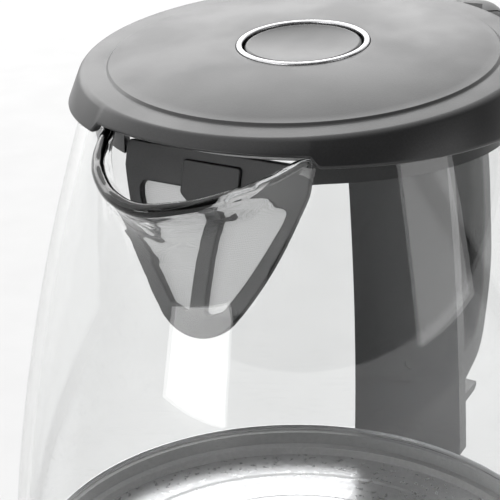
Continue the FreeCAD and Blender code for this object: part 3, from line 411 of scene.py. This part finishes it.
def clear(name, colour, ior, wave, depth):
    """Clear glass or plastic with a very slight waviness."""
    material, shader = new_material(name, colour, 0.0)
    shader.inputs["Transmission Weight"].default_value = 1.0
    shader.inputs["IOR"].default_value = ior
    swell = noise(material, wave, 2, (1, 1, 0.12))
    link(material, spread(material, swell, *shades(colour, 0.004)), shader.inputs["Base Color"])
    bump(material, shader, swell, depth, 0.0004)
    return material


def woven(name):
    """Fine filter gauze: a weave of shades, partly see-through."""
    material, shader = new_material(name, (0.62, 0.62, 0.62), 0.5)
    place = add_node(material, "ShaderNodeTexCoord")
    threads = []
    for direction in ("Y", "Z"):
        wave = add_node(material, "ShaderNodeTexWave", bands_direction=direction, Scale=700)
        link(material, place.outputs["Object"], wave.inputs["Vector"])
        threads.append(wave.outputs["Fac"])
    weave = add_node(material, "ShaderNodeMath", operation="MAXIMUM")
    for socket, thread in zip(weave.inputs, threads):
        link(material, thread, socket)
    link(material, spread(material, weave.outputs[0], (0.45, 0.45, 0.46), (0.72, 0.72, 0.72),
                          0.3, 0.8), shader.inputs["Base Color"])
    shader.inputs["Alpha"].default_value = 0.4
    bump(material, shader, weave.outputs[0], 0.4, 0.0001)
    return material


def make_looks():
    """One material for each material slot of the record."""
    return {
        "lid_plastic": moulded("lid_plastic", (0.016, 0.016, 0.0165), 0.36),
        "black_plastic": moulded("black_plastic", (0.018, 0.018, 0.019), 0.36),
        "inner_plastic": moulded("inner_plastic", (0.05, 0.05, 0.052), 0.45),
        "chrome_trim": metal("chrome_trim", (0.56, 0.56, 0.57), 0.26, grain=1500, depth=0.05),
        "body_glass": clear("body_glass", (0.955, 0.96, 0.958), 1.5, 45, 0.04),
        "filter_plastic": moulded("filter_plastic", (0.016, 0.016, 0.017), 0.4),
        "fine_mesh": woven("fine_mesh"),
        "brushed_steel": metal("brushed_steel", (0.56, 0.56, 0.57), 0.26, (0.02, 0.02, 1)),
        "plate_steel": metal("plate_steel", (0.60, 0.60, 0.61), 0.34, grain=500, depth=0.03),
        "aluminium_disc": metal("aluminium_disc", (0.72, 0.72, 0.73), 0.4),
        "element_sheath": metal("element_sheath", (0.42, 0.41, 0.40), 0.42),
        "copper_brass": metal("copper_brass", (0.72, 0.50, 0.22), 0.3),
        "spring_steel": metal("spring_steel", (0.50, 0.50, 0.52), 0.28),
        "screw_steel": metal("screw_steel", (0.46, 0.46, 0.48), 0.33),
        "silicone_seal": moulded("silicone_seal", (0.42, 0.42, 0.42), 0.55, 900, 0.15, 0.06),
        "rubber_feet": moulded("rubber_feet", (0.022, 0.022, 0.022), 0.75, 1500, 0.4),
        "lens_plastic": clear("lens_plastic", (0.92, 0.45, 0.12), 1.49, 200, 0.02),
        "lead_jacket": moulded("lead_jacket", (0.16, 0.16, 0.17), 0.5, 1200, 0.2),
    }


LOOKS = make_looks()


def finish_cad_nodes():
    """Give every CAD node the material of its slot."""
    for node in frame["nodes"].values():
        for slot in node.material_slots:
            slot.material = LOOKS[slot.material.name.split(".")[0]]


def fit(piece, body, slot, *nodes):
    """Put a new piece in the place of CAD nodes, on a body, in a slot's finish."""
    piece.data.materials.clear()
    piece.data.materials.append(LOOKS[slot])
    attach(piece, body)
    if nodes:
        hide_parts(*nodes)
    return piece


# ---------------------------------------------------------------- glass body


def wall_radius(height):
    """Outer radius of the bowed wall: the arc through its foot, shoulder and rim."""
    line = arc_points((FOOT_RADIUS, FOOT_HEIGHT), (SHOULDER_RADIUS, SHOULDER_HEIGHT),
                      (RIM_RADIUS, RIM_HEIGHT), 60)
    return np.interp(height, [up for _, up in line], [across for across, _ in line])


BEAK_FALL = 0.259
BEAK_SPREAD = math.radians(27)
BEAK_NOSE = 0.15
BEAK_BLEND = 0.09
# Reach of the beak's underside at each depth below the lid point.
BEAK_DEPTHS = (9, 14.5, 17, 19.4, 21.5, 25, 30, 36, 44)
BEAK_REACHES = (80.6, 79.4, 77.6, 74.4, 71.2, 67.6, 64.6, 63.2, 63.0)


def glass_radius(angle, height):
    """Outer radius of the wall, with the beak's V drawn out of it round a blunt nose."""
    wall = float(wall_radius(height))
    reach = float(np.interp(LID_POINT - height, BEAK_DEPTHS, BEAK_REACHES))
    proud = max(0.0, reach - wall)
    share = min(1.0, proud / 25)
    across = abs(angle) / (BEAK_SPREAD * (0.72 + 0.28 * share))
    rise = 1 - 1.06 * (math.hypot(across, BEAK_NOSE) - BEAK_NOSE)
    lift = (rise + math.hypot(rise, BEAK_BLEND)) / 2
    fade = max(0.0, 1 - max(0.0, across - 1.2) / 0.6)
    return wall + proud * lift * fade * fade * (3 - 2 * fade)


def rim_height_at(angle):
    """The rim falls away along the beak."""
    height = RIM_HEIGHT
    for _ in range(6):
        reach = glass_radius(angle, height) * math.cos(angle)
        drop = max(0.0, reach - (RIM_RADIUS - 3)) * BEAK_FALL if abs(angle) < 0.9 else 0.0
        height = RIM_HEIGHT - drop
    return height


def glass_point(angle, height):
    radius = glass_radius(angle, height)
    return np.array((-radius * math.cos(angle), radius * math.sin(angle), height))


def glass_form():
    """The blown jug: bowed wall, pouring beak, and a rounded rim all round."""
    near = np.linspace(-0.75, 0.75, 121)
    far = np.linspace(0.75, 2 * math.pi - 0.75, 150)[1:-1]
    angles = [math.remainder(angle, 2 * math.pi) for angle in np.concatenate((near, far))]
    levels = 1 - (1 - np.linspace(0, 1, 46)) ** 1.7
    bead = GLASS_WALL / 2
    columns = []
    for angle in angles:
        top = rim_height_at(angle) - bead
        outer, inner = [], []
        for level in levels:
            height = FOOT_HEIGHT + (top - FOOT_HEIGHT) * level
            spot = glass_point(angle, height)
            turn = glass_point(angle + 0.01, height) - glass_point(angle - 0.01, height)
            rise = glass_point(angle, height + 0.4) - glass_point(angle, height - 0.4)
            normal = np.cross(rise, turn)
            normal /= np.linalg.norm(normal)
            outer.append(spot)
            inner.append(spot - normal * GLASS_WALL)
        inner[0][2] = FOOT_HEIGHT
        middle = (outer[-1] + inner[-1]) / 2
        spoke = outer[-1] - middle
        up = rise / np.linalg.norm(rise)
        cap = [middle + spoke * math.cos(turn) + up * bead * math.sin(turn)
               for turn in np.linspace(0, math.pi, 9)[1:-1]]
        columns.append(outer + cap + inner[::-1])
    return grid("glass_body_form", columns)


# ---------------------------------------------------------------- lid


def lid_spot(radius, angle, rise):
    """A point by radius, angle and rise in the lid's own tilted frame."""
    return LID @ Vector((radius * math.cos(angle), radius * math.sin(angle), rise))


PANEL_STEP = 0.6
PANEL_TOP = 2.5
WELL_DEPTH = 1.5


def lid_angles():
    """Even steps, with more where the skirt steps up over the spout."""
    even = np.linspace(0, 2 * math.pi, 240, endpoint=False)
    steps = [math.pi + side * (ARCH_ANGLE + math.radians(shift))
             for side in (-1, 1) for shift in np.linspace(-1.6, 1.6, 9)]
    return np.unique(np.concatenate((even, steps)))


def skirt_foot(angle):
    """The skirt's lower edge, which steps up over the spout."""
    off = abs(math.remainder(angle - math.pi, 2 * math.pi)) - ARCH_ANGLE
    share = np.clip(off / math.radians(1.4) * 0.5 + 0.5, 0, 1)
    share = share * share * (3 - 2 * share)
    return ARCH_HEIGHT + (SKIRT_HEIGHT - ARCH_HEIGHT) * share


def lid_form():
    """The lid's cover: ring well, domed panel, flange, flared skirt and inner faces."""
    dome = arc_points((RING_OUTER + 0.1, PANEL_TOP),
                      ((PANEL_RADIUS + RING_OUTER) / 2, PANEL_STEP + 1.3),
                      (PANEL_RADIUS - 0.9, PANEL_STEP), 14)
    columns = []
    for angle in lid_angles():
        foot = skirt_foot(angle)
        level = np.array((math.cos(angle), math.sin(angle), 0))
        skirt = level * SKIRT_RADIUS
        share = (foot - SKIRT_HEIGHT) / (LID_POINT - SKIRT_HEIGHT)
        outer = skirt - level * 3.2 * share
        corners = [(*lid_spot(RING_OUTER + 0.1, angle, PANEL_TOP - WELL_DEPTH), 0)]
        corners += [(*lid_spot(radius, angle, rise), 0.25 if number == 0 else 0)
                    for number, (radius, rise) in enumerate(dome)]
        corners += [
            (*lid_spot(PANEL_RADIUS - 0.35, angle, PANEL_STEP), 0.3),
            (*lid_spot(PANEL_RADIUS + 0.25, angle, 0), 0.5),
            (*lid_spot(FLANGE_RADIUS, angle, 0), 1.9),
            (outer[0], outer[1], foot, 0.9),
            (*(outer[:2] - level[:2] * LID_WALL), foot, 0.6),
            (*lid_spot(FLANGE_RADIUS - LID_WALL, angle, -LID_WALL), 1.0),
            (*lid_spot(RING_INNER, angle, -LID_WALL), 0),
            (*lid_spot(RING_INNER, angle, PANEL_TOP - WELL_DEPTH), 0),
        ]
        columns.append(rounded(corners, 5))
    lid = grid("lid_cover_form", columns)
    notch_face = FLANGE_RADIUS - 5
    notch = prism("notch", [(notch_face, SKIRT_HEIGHT - 5), (notch_face + 20, SKIRT_HEIGHT - 5),
                            (notch_face + 20, LID_POINT + 20), (notch_face, LID_POINT + 20)],
                  NOTCH_WIDTH)
    return joined_by(lid, notch, "DIFFERENCE")


def lug_form():
    """The lid's hinge arm with its eye round the hinge pin."""
    eye = LUG_EYE
    root = FLANGE_RADIUS - 6.5
    turns = np.linspace(-math.pi / 2, math.pi / 2, 17)
    arm = [(root, HINGE.z - eye)]
    arm += [(HINGE.x + eye * math.cos(turn), HINGE.z + eye * math.sin(turn)) for turn in turns]
    arm += [(FLANGE_RADIUS - 2, HINGE.z + eye + 1.2), (root, HINGE.z + eye + 1.4)]
    hole = [(HINGE.x + 1.6 * math.cos(turn), HINGE.z + 1.6 * math.sin(turn))
            for turn in np.linspace(0, 2 * math.pi, 32, endpoint=False)]
    return plate("lid_hinge_arm", [arm, hole], LUG_WIDTH, 0.6, FACING_Y)


def button_forms():
    top = PANEL_TOP
    ring = lathe("button_ring_form", [
        (RING_INNER, top - WELL_DEPTH, 0),
        (RING_OUTER, top - WELL_DEPTH, 0),
        (RING_OUTER, top + 0.4, 0.45),
        (RING_INNER, top + 0.4, 0.45),
    ], LID, closed=True)
    edge = BUTTON_RADIUS - 0.5
    dish = [(edge * share, top - 1 + 0.95 * share ** 2.2, 0)
            for share in np.linspace(0, 0.94, 12)]
    button = lathe("lid_button_form", dish + [
        (edge, top, 0.6),
        (BUTTON_RADIUS, top - 0.5, 0.4),
        (BUTTON_RADIUS, top - 6, 0.3),
        (BUTTON_RADIUS - 1.6, top - 6, 0),
        (BUTTON_RADIUS - 1.6, top - 3, 0),
        (0, top - 3, 0),
    ], LID)
    return ring, button


# ---------------------------------------------------------------- spout filter


FILTER_LEAN = math.radians(13.6)
FILTER_WALL = 2.2
FILTER_HALF = corners_of("filter_frame")[1].y
FILTER_HEIGHT = 41.2
FILTER_HEAD_RISE = 1.5
FILTER_CHEEK = 4.7
FILTER_PLACE = (Matrix.Translation((-42.9, 0, RIM_HEIGHT - 5.5))
                @ Matrix.Rotation(FILTER_LEAN, 4, "Y"))


def shield(inset, head_rise=0.0):
    """Shield outline of the filter, drawn in by an inset; its head may rise a little."""
    half, deep = FILTER_HALF - inset, FILTER_HEIGHT - inset
    right = arc_points((half, -FILTER_CHEEK), (half * 0.75, -deep * 0.53),
                       (half * 0.39, -deep * 0.89), 14)
    foot = arc_points((half * 0.39, -deep * 0.89), (0, -deep), (-half * 0.39, -deep * 0.89), 14)
    left = [(-across, up) for across, up in reversed(right)]
    top = head_rise - inset
    head = rounded([(-half, -FILTER_CHEEK, 0), (-half, top, 1.5), (half, top, 1.5),
                    (half, -FILTER_CHEEK, 0)])
    return [tuple(point) for point in head[1:-1]] + right + foot[1:-1] + left


def window(side):
    """One opening of the filter frame, beside its centre rib."""
    bar, top, rib = 4.5, 7.5, 2.0
    half, deep = FILTER_HALF - bar, FILTER_HEIGHT - bar - 1
    curve = arc_points((half, -top - 1.5), (half * 0.76, -deep * 0.57),
                       (half * 0.37, -deep * 0.93), 12)
    corners = [(rib, -top, 1.0), (half - 0.2, -top, 2.0)]
    corners += [(*point, 0) for point in curve[1:-1]]
    corners += [(half * 0.35, -deep * 0.945, 1.2), (rib, -deep, 1.0)]
    return [(side * across, up) for across, up in rounded(corners)]


def filter_forms():
    outlines = [shield(0, FILTER_HEAD_RISE), window(1), window(-1)]
    mould = plate("filter_frame_form", outlines, FILTER_WALL, 0.45, FILTER_PLACE @ FACING_X)
    tab_line = rounded([(-7.5, -1, 1), (7.5, -1, 1), (7.5, -8.8, 1.5), (5.5, -10.5, 1.5),
                        (-5.5, -10.5, 1.5), (-7.5, -8.8, 1.5)])
    lift = Matrix.Translation((-(FILTER_WALL / 2 + 0.1), 0, 0))
    tab = plate("filter_tab", [[tuple(point) for point in tab_line]], 1.4, 0.4,
                FILTER_PLACE @ lift @ FACING_X)
    behind = Matrix.Translation((FILTER_WALL / 2 + 0.2, 0, 0))
    gauze = plate("filter_mesh_form", [shield(1.6)], 0.4, 0.1, FILTER_PLACE @ behind @ FACING_X)
    return mould, tab, gauze


# ---------------------------------------------------------------- handle


STRIP_FACE = 4.3
ROOT_SINK = 3.0
HANDLE_WIDTH = 30
HANDLE_ROUND = 6.0
COVER_WALL = 2.5
SEAM = 0.3
HANDLE_TOP = corners_of("handle_outer_shell")[1].z
HANDLE_FOOT = corners_of("handle_outer_shell")[0].z + 0.2
HANDLE_REACH = corners_of("handle_outer_shell")[1].x
HANDLE_LEDGE = corners_of("hinge_bracket")[0].z - 0.3
BRACKET_BACK = corners_of("hinge_bracket")[1].x + 0.4
THROAT_TOP = LID_POINT - 27
THROAT_FOOT = HANDLE_FOOT + 21
HANDLE_STATIONS = 72


def root_at(height):
    """Where the handle meets the strip behind the glass."""
    return float(wall_radius(height)) + STRIP_FACE - ROOT_SINK


def stations(corners):
    """Evenly shared places along a rounded line."""
    line = np.array(rounded(corners, 8, closed=False))
    steps = np.linalg.norm(np.diff(line, axis=0), axis=1)
    along = np.concatenate(([0], np.cumsum(steps))) / steps.sum()
    places = np.linspace(0, 1, HANDLE_STATIONS)
    return [np.array((np.interp(place, along, line[:, 0]), np.interp(place, along, line[:, 1])))
            for place in places]


def handle_sides():
    """The loop's outside and inside from the bracket round to the foot."""
    far = HANDLE_REACH - 0.6
    outside = stations([
        (BRACKET_BACK, HANDLE_TOP, 0),
        (far - 22, HANDLE_TOP - 4.4, 22),
        (far - 4, HANDLE_TOP - 18, 22),
        (far + 0.4, LID_POINT - 55, 120),
        (far, LID_POINT - 96, 40),
        (far - 13, HANDLE_FOOT + 7, 18),
        (far - 38, HANDLE_FOOT, 30),
        (root_at(HANDLE_FOOT), HANDLE_FOOT, 0),
    ])
    inside = stations([
        (BRACKET_BACK, THROAT_TOP, 0),
        (far - 29, THROAT_TOP - 1.5, 8),
        (far - 22.5, THROAT_TOP - 10, 12),
        (far - 19.6, LID_POINT - 70, 90),
        (far - 21, HANDLE_FOOT + 34, 14),
        (far - 27, THROAT_FOOT + 1, 8),
        (root_at(THROAT_FOOT), THROAT_FOOT, 0),
    ])
    return outside, inside


def section(top, bottom, first, last):
    """Closed section between two depths below the top, its ends rounded across."""
    deep = np.linalg.norm(bottom - top)
    way = (bottom - top) / deep
    ease = 0.5 - 0.5 * np.cos(np.linspace(0, math.pi, 26))
    right = []
    for depth in first + (last - first) * ease:
        edge = min(depth, deep - depth)
        bow = max(0.0, HANDLE_ROUND - edge)
        half = (HANDLE_WIDTH / 2 - HANDLE_ROUND
                + math.sqrt(max(0.0, HANDLE_ROUND ** 2 - bow ** 2)))
        spot = top + way * depth
        right.append((spot[0], half, spot[1]))
    return right + [(across, -half, up) for across, half, up in reversed(right)]


def handle_forms():
    """The loop's inner shell, and the cover over its outside, parted by a seam."""
    outside, inside = handle_sides()
    cover, inner = [], []
    drop = HANDLE_TOP - HANDLE_LEDGE
    for across in (root_at(THROAT_TOP), BRACKET_BACK - 0.05):
        top, bottom = np.array((across, HANDLE_TOP)), np.array((across, THROAT_TOP))
        inner.append(section(top, bottom, drop, HANDLE_TOP - THROAT_TOP))
    for top, bottom in zip(outside, inside):
        deep = np.linalg.norm(bottom - top)
        cover.append(section(top, bottom, 0, COVER_WALL))
        inner.append(section(top, bottom, COVER_WALL + SEAM, deep))
    return (grid("handle_inner_shell_form", inner, wrap_rows=False, sharp=50),
            grid("handle_outer_shell_form", cover, wrap_rows=False, sharp=50))


# ---------------------------------------------------------------- underside and power base


def underside_forms():
    band_low, band_high = corners_of("steel_band")
    house_low, house_high = corners_of("bottom_housing")
    plate_low, plate_high = corners_of("heating_plate")
    band_radius, housing_radius = band_high.y, plate_high.y
    housing = lathe("bottom_housing_form", [
        (housing_radius - 2.5, house_low.z, 0.3),
        (band_radius - 1.5, house_low.z, 0.8),
        (band_radius, house_low.z + 4, 3),
        (band_radius, band_low.z - 0.1, 0.4),
        (housing_radius, band_low.z - 0.1, 0),
        (housing_radius, house_high.z, 0),
        (housing_radius - 2.5, house_high.z, 0),
    ], closed=True)
    band = lathe("steel_band_form", [
        (housing_radius + 0.1, band_low.z, 0),
        (band_radius, band_low.z, 0.4),
        (band_radius, band_high.z - 1, 0.9),
        (band_radius - 1, band_high.z, 0.3),
        (housing_radius + 0.1, band_high.z, 0),
    ], closed=True)
    floor = lathe("heating_plate_form", [
        (0, plate_high.z, 0),
        (RIM_RADIUS - 4, plate_high.z, 1),
        (RIM_RADIUS - 3, plate_high.z - 0.3, 1),
        (RIM_RADIUS + 9, plate_high.z - 0.3, 1),
        (RIM_RADIUS + 10, plate_high.z, 1),
        (housing_radius, plate_high.z, 0.2),
        (housing_radius, plate_low.z, 0.2),
        (0, plate_low.z, 0),
    ])
    return housing, band, floor


def base_forms():
    low, high = corners_of("base_top_shell")
    reach, wall = high.y, 2.5
    throat = corners_of("kettle_socket")[1].y - 0.5
    shell = lathe("base_top_shell_form", [
        (reach - wall, low.z, 0.2),
        (reach, low.z, 0.5),
        (reach, high.z, 4),
        (RIM_RADIUS + 15, high.z, 0),
        (RIM_RADIUS + 14, high.z - 0.5, 0.4),
        (RIM_RADIUS + 12.6, high.z - 0.5, 0.4),
        (RIM_RADIUS + 11.6, high.z, 0),
        (throat, high.z, 0.6),
        (throat, high.z - wall, 0),
        (reach - wall, high.z - wall, 2.5),
    ], closed=True)
    foot_low, foot_high = corners_of("base_feet")
    foot_radius = 7
    ring_radius = foot_high.x - foot_radius
    feet = []
    for number in range(5):
        turn = number * 2 * math.pi / 5
        feet.append(lathe(f"base_foot_form_{number}", [
            (0, 0, 0),
            (foot_radius - 1.5, 0, 0.5),
            (foot_radius, 1.2, 0.8),
            (foot_radius, foot_high.z, 0),
            (0, foot_high.z, 0),
        ], segments=64, at=(ring_radius * math.cos(turn), ring_radius * math.sin(turn))))
    return shell, feet


# ---------------------------------------------------------------- springs


def wound(node, body, axis):
    """A spring copied from its CAD node onto a body; the axis points to the end that moves but
    is not used.
    """
    source = frame["nodes"][node].data
    points = [vertex.co / MM for vertex in source.vertices]
    coil = add_piece(node + "_form", points, [tuple(face.vertices) for face in source.polygons])
    axis = Vector(axis).normalized()
    fit(coil, body, "spring_steel", node)
    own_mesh(coil)


def spring_forms():
    press = Vector(BUTTON_AXIS)
    wound("button_spring", "lid", -press)
    wound("latch_spring_right", "lid", (0, -1, 0))
    wound("latch_spring_left", "lid", (0, 1, 0))


# ---------------------------------------------------------------- the object


def build():
    finish_cad_nodes()
    fit(glass_form(), "jug", "body_glass", "glass_body")
    fit(lid_form(), "lid", "lid_plastic", "lid_cover")
    fit(lug_form(), "lid", "lid_plastic")
    ring, button = button_forms()
    fit(ring, "lid", "chrome_trim", "button_ring")
    fit(button, "button", "lid_plastic", "lid_button")
    mould, tab, gauze = filter_forms()
    fit(mould, "filter", "filter_plastic", "filter_frame")
    fit(tab, "filter", "filter_plastic")
    fit(gauze, "filter", "fine_mesh", "filter_mesh")
    inner, outer = handle_forms()
    fit(inner, "jug", "black_plastic", "handle_inner_shell")
    fit(outer, "jug", "black_plastic", "handle_outer_shell")
    fit(softened("hinge_bracket", 1.0), "jug", "black_plastic", "hinge_bracket")
    fit(softened("switch_lever", 0.9), "lever", "black_plastic", "switch_lever")
    fit(softened("cord_gland", 0.5), "base", "rubber_feet", "cord_gland")
    housing, band, floor = underside_forms()
    fit(housing, "jug", "black_plastic", "bottom_housing")
    fit(band, "jug", "brushed_steel", "steel_band")
    fit(floor, "jug", "plate_steel", "heating_plate")
    spring_forms()
    shell, feet = base_forms()
    fit(shell, "base", "black_plastic", "base_top_shell")
    for number, foot in enumerate(feet):
        fit(foot, "base", "rubber_feet", *(["base_feet"] if number == 0 else []))


# ---------------------------------------------------------------- floor, light and camera


VIEW_AZIMUTH = math.radians(-63)
VIEW_ELEVATION = math.radians(13.82)
VIEW_DISTANCE = 362.7
VIEW_TURN = math.radians(2.06)
VIEW_NOD = math.radians(-7.68)
VIEW_LENS = 105.84

BACKWARD = Vector((math.sin(VIEW_AZIMUTH) * math.cos(VIEW_ELEVATION),
                   -math.cos(VIEW_AZIMUTH) * math.cos(VIEW_ELEVATION),
                   math.sin(VIEW_ELEVATION)))
RIGHTWARD = Vector((math.cos(VIEW_AZIMUTH), math.sin(VIEW_AZIMUTH), 0))


def camera():
    """The camera stands off the lid and is turned a little from it."""
    right = RIGHTWARD.copy()
    up = BACKWARD.cross(right)
    turn = Matrix.Rotation(VIEW_TURN, 3, up)
    ahead, right = turn @ -BACKWARD, turn @ right
    nod = Matrix.Rotation(VIEW_NOD, 3, right)
    ahead, up = nod @ ahead, nod @ up
    data = bpy.data.cameras.new("camera")
    data.sensor_width = 36
    data.lens = VIEW_LENS
    data.clip_start = 0.01
    data.clip_end = 100
    viewer = bpy.data.objects.new("camera", data)
    bpy.context.collection.objects.link(viewer)
    pose = Matrix((right, up, -ahead)).transposed().to_4x4()
    pose.translation = (Vector((0, 0, LID_POINT)) + BACKWARD * VIEW_DISTANCE) * MM
    viewer.matrix_world = pose
    bpy.context.scene.camera = viewer


def floor():
    """A wide pale floor that is bright enough to read as white."""
    half = 30.0
    mesh = bpy.data.meshes.new("floor")
    mesh.from_pydata([(-half, -half, 0), (half, -half, 0), (half, half, 0), (-half, half, 0)],
                     [], [(0, 1, 2, 3)])
    ground = bpy.data.objects.new("floor", mesh)
    bpy.context.collection.objects.link(ground)
    material, shader = new_material("floor", (0.6, 0.6, 0.6), 0.9)
    shader.inputs["Emission Color"].default_value = (1, 1, 1, 1)
    shader.inputs["Emission Strength"].default_value = 0.17
    shader.inputs["Specular IOR Level"].default_value = 0.0
    speckle = noise(material, 30)
    link(material, spread(material, speckle, (0.59, 0.59, 0.59), (0.61, 0.61, 0.61)),
         shader.inputs["Base Color"])
    mesh.materials.append(material)


def softbox(name, bearing, elevation, distance, width, height, radiance):
    """A rectangular light that faces the kettle; bearing is turned right from the view."""
    turn = math.radians(bearing)
    level = Vector((math.sin(VIEW_AZIMUTH), -math.cos(VIEW_AZIMUTH), 0))
    way = level * math.cos(turn) + RIGHTWARD * math.sin(turn)
    way = way * math.cos(math.radians(elevation)) + Vector((0, 0, 1)) * math.sin(
        math.radians(elevation))
    data = bpy.data.lights.new(name, "AREA")
    data.shape = "RECTANGLE"
    data.size, data.size_y = width, height
    data.energy = radiance * math.pi * width * height
    lamp = bpy.data.objects.new(name, data)
    bpy.context.collection.objects.link(lamp)
    lamp.matrix_world = (Matrix.Translation(Vector((0, 0, 0.15)) + way * distance)
                         @ way.to_track_quat("Z", "Y").to_matrix().to_4x4())
    lamp.visible_camera = False


def world():
    """A pale surround: bright behind and to the left, dim in front and to the right."""
    sky = bpy.data.worlds.new("surround")
    bpy.context.scene.world = sky
    sky.use_nodes = True
    tree = sky.node_tree
    place = tree.nodes.new("ShaderNodeTexCoord")
    bright = (-BACKWARD.to_2d().to_3d().normalized() * 0.8 - RIGHTWARD * 0.6)
    facing = tree.nodes.new("ShaderNodeVectorMath")
    facing.operation = "DOT_PRODUCT"
    facing.inputs[1].default_value = (*bright.to_2d(), 0.45)
    tree.links.new(place.outputs["Generated"], facing.inputs[0])
    reach = tree.nodes.new("ShaderNodeMapRange")
    reach.interpolation_type = "SMOOTHSTEP"
    for name, number in (("From Min", -0.5), ("From Max", 0.6), ("To Min", 0.06),
                         ("To Max", 1.5)):
        reach.inputs[name].default_value = number
    tree.links.new(facing.outputs["Value"], reach.inputs["Value"])
    path = tree.nodes.new("ShaderNodeLightPath")
    shown = tree.nodes.new("ShaderNodeMix")
    shown.data_type = "FLOAT"
    shown.inputs[3].default_value = 1.1
    tree.links.new(path.outputs["Is Camera Ray"], shown.inputs[0])
    tree.links.new(reach.outputs["Result"], shown.inputs[2])
    tree.links.new(shown.outputs[0], tree.nodes["Background"].inputs["Strength"])
    tree.nodes["Background"].inputs["Color"].default_value = (1, 1, 1, 1)


build()
floor()
camera()
world()
softbox("front_left_softbox", -42, 1, 1.3, 0.6, 0.5, 3.6)
softbox("right_softbox", 62, 8, 1.4, 0.7, 0.45, 1.8)
softbox("back_softbox", 205, 27, 2.0, 2.6, 0.8, 2.4)
scene = bpy.context.scene
scene.view_settings.view_transform = "Standard"

bpy.context.view_layer.update()
